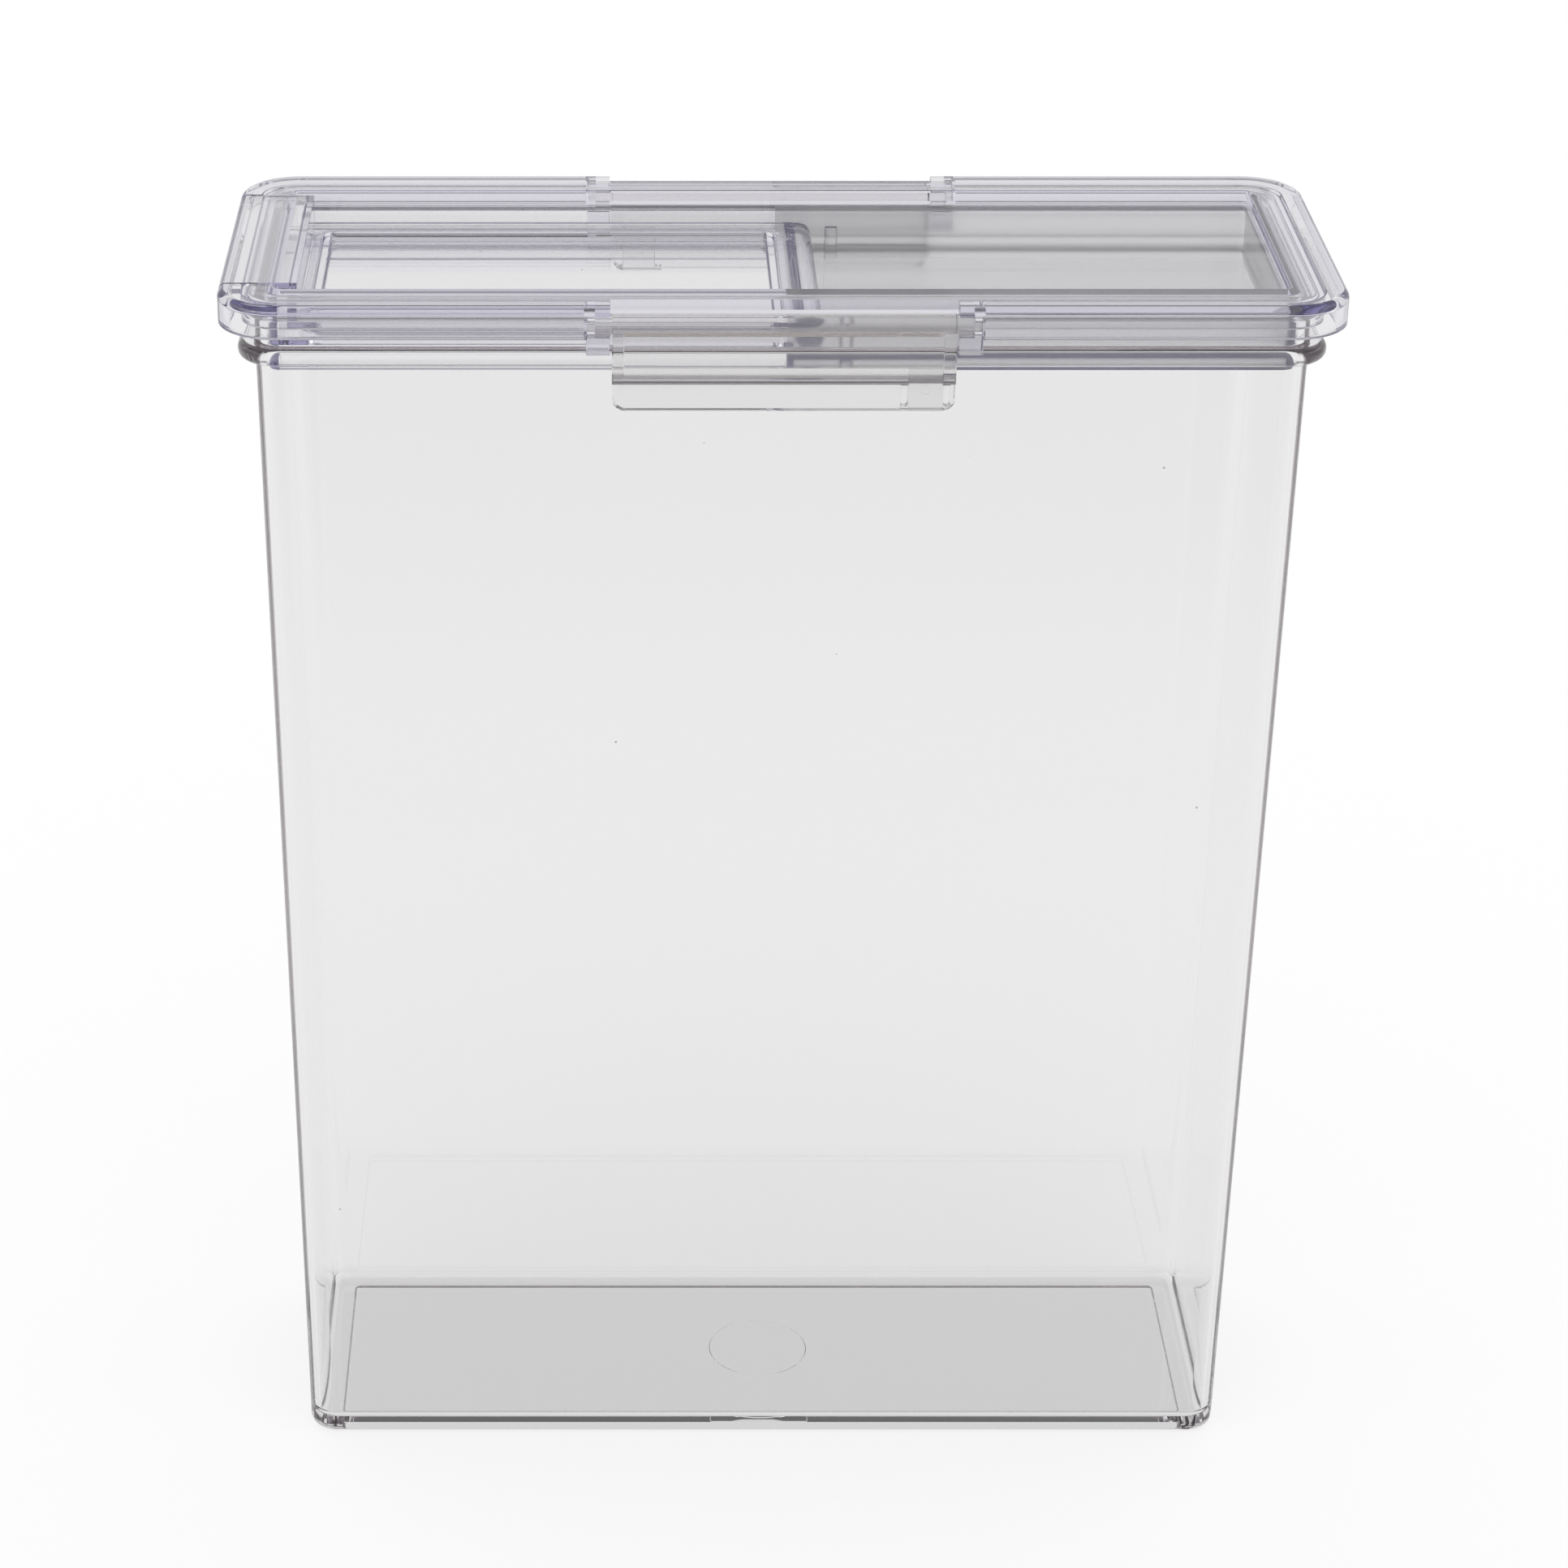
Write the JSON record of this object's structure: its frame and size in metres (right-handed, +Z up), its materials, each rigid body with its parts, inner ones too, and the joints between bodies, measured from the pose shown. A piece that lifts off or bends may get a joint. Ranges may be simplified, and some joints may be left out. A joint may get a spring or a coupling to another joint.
{
  "type": "cereal container",
  "caption": "Tall slim clear food container with a clear lid, a flip spout that opens over a pour opening, and a hook latch on each long side.",
  "frame": {"origin": "centre of the underside of the container, on the surface it stands on", "axes": "+X along the length, from the flip spout towards the closed end of the lid; -Y the front; +Z up"},
  "size_m": [0.25, 0.0944, 0.3028],
  "materials": {
    "clear_body": "clear, polished",
    "clear_lid": "clear with a light lavender tint, polished",
    "clear_flap": "clear, polished",
    "clear_latch": "clear with a warm grey tint, polished",
    "silicone": "translucent silicone, matt"
  },
  "bodies": {
    "container": {"body": "clear_body"},
    "lid": {"lid": "clear_lid", "lid_seal": "silicone"},
    "spout": {"spout_flap": "clear_flap", "spout_seal": "silicone"},
    "front_latch": {"front_latch": "clear_latch"},
    "rear_latch": {"rear_latch": "clear_latch"}
  },
  "joints": [
    {"name": "lid_lift", "type": "slide", "parent": "container", "child": "lid", "axis": [0, 0, 1], "range_m": [0, 0.06]},
    {"name": "spout_hinge", "type": "hinge", "parent": "lid", "child": "spout", "pos_m": [0.006, 0, 0.2922], "axis": [0, 1, 0], "range_deg": [0, 130]},
    {"name": "front_latch_hinge", "type": "hinge", "parent": "lid", "child": "front_latch", "pos_m": [0, -0.0448, 0.2979], "axis": [-1, 0, 0], "range_deg": [0, 120]},
    {"name": "rear_latch_hinge", "type": "hinge", "parent": "lid", "child": "rear_latch", "pos_m": [0, 0.0448, 0.2979], "axis": [1, 0, 0], "range_deg": [0, 120]}
  ]
}
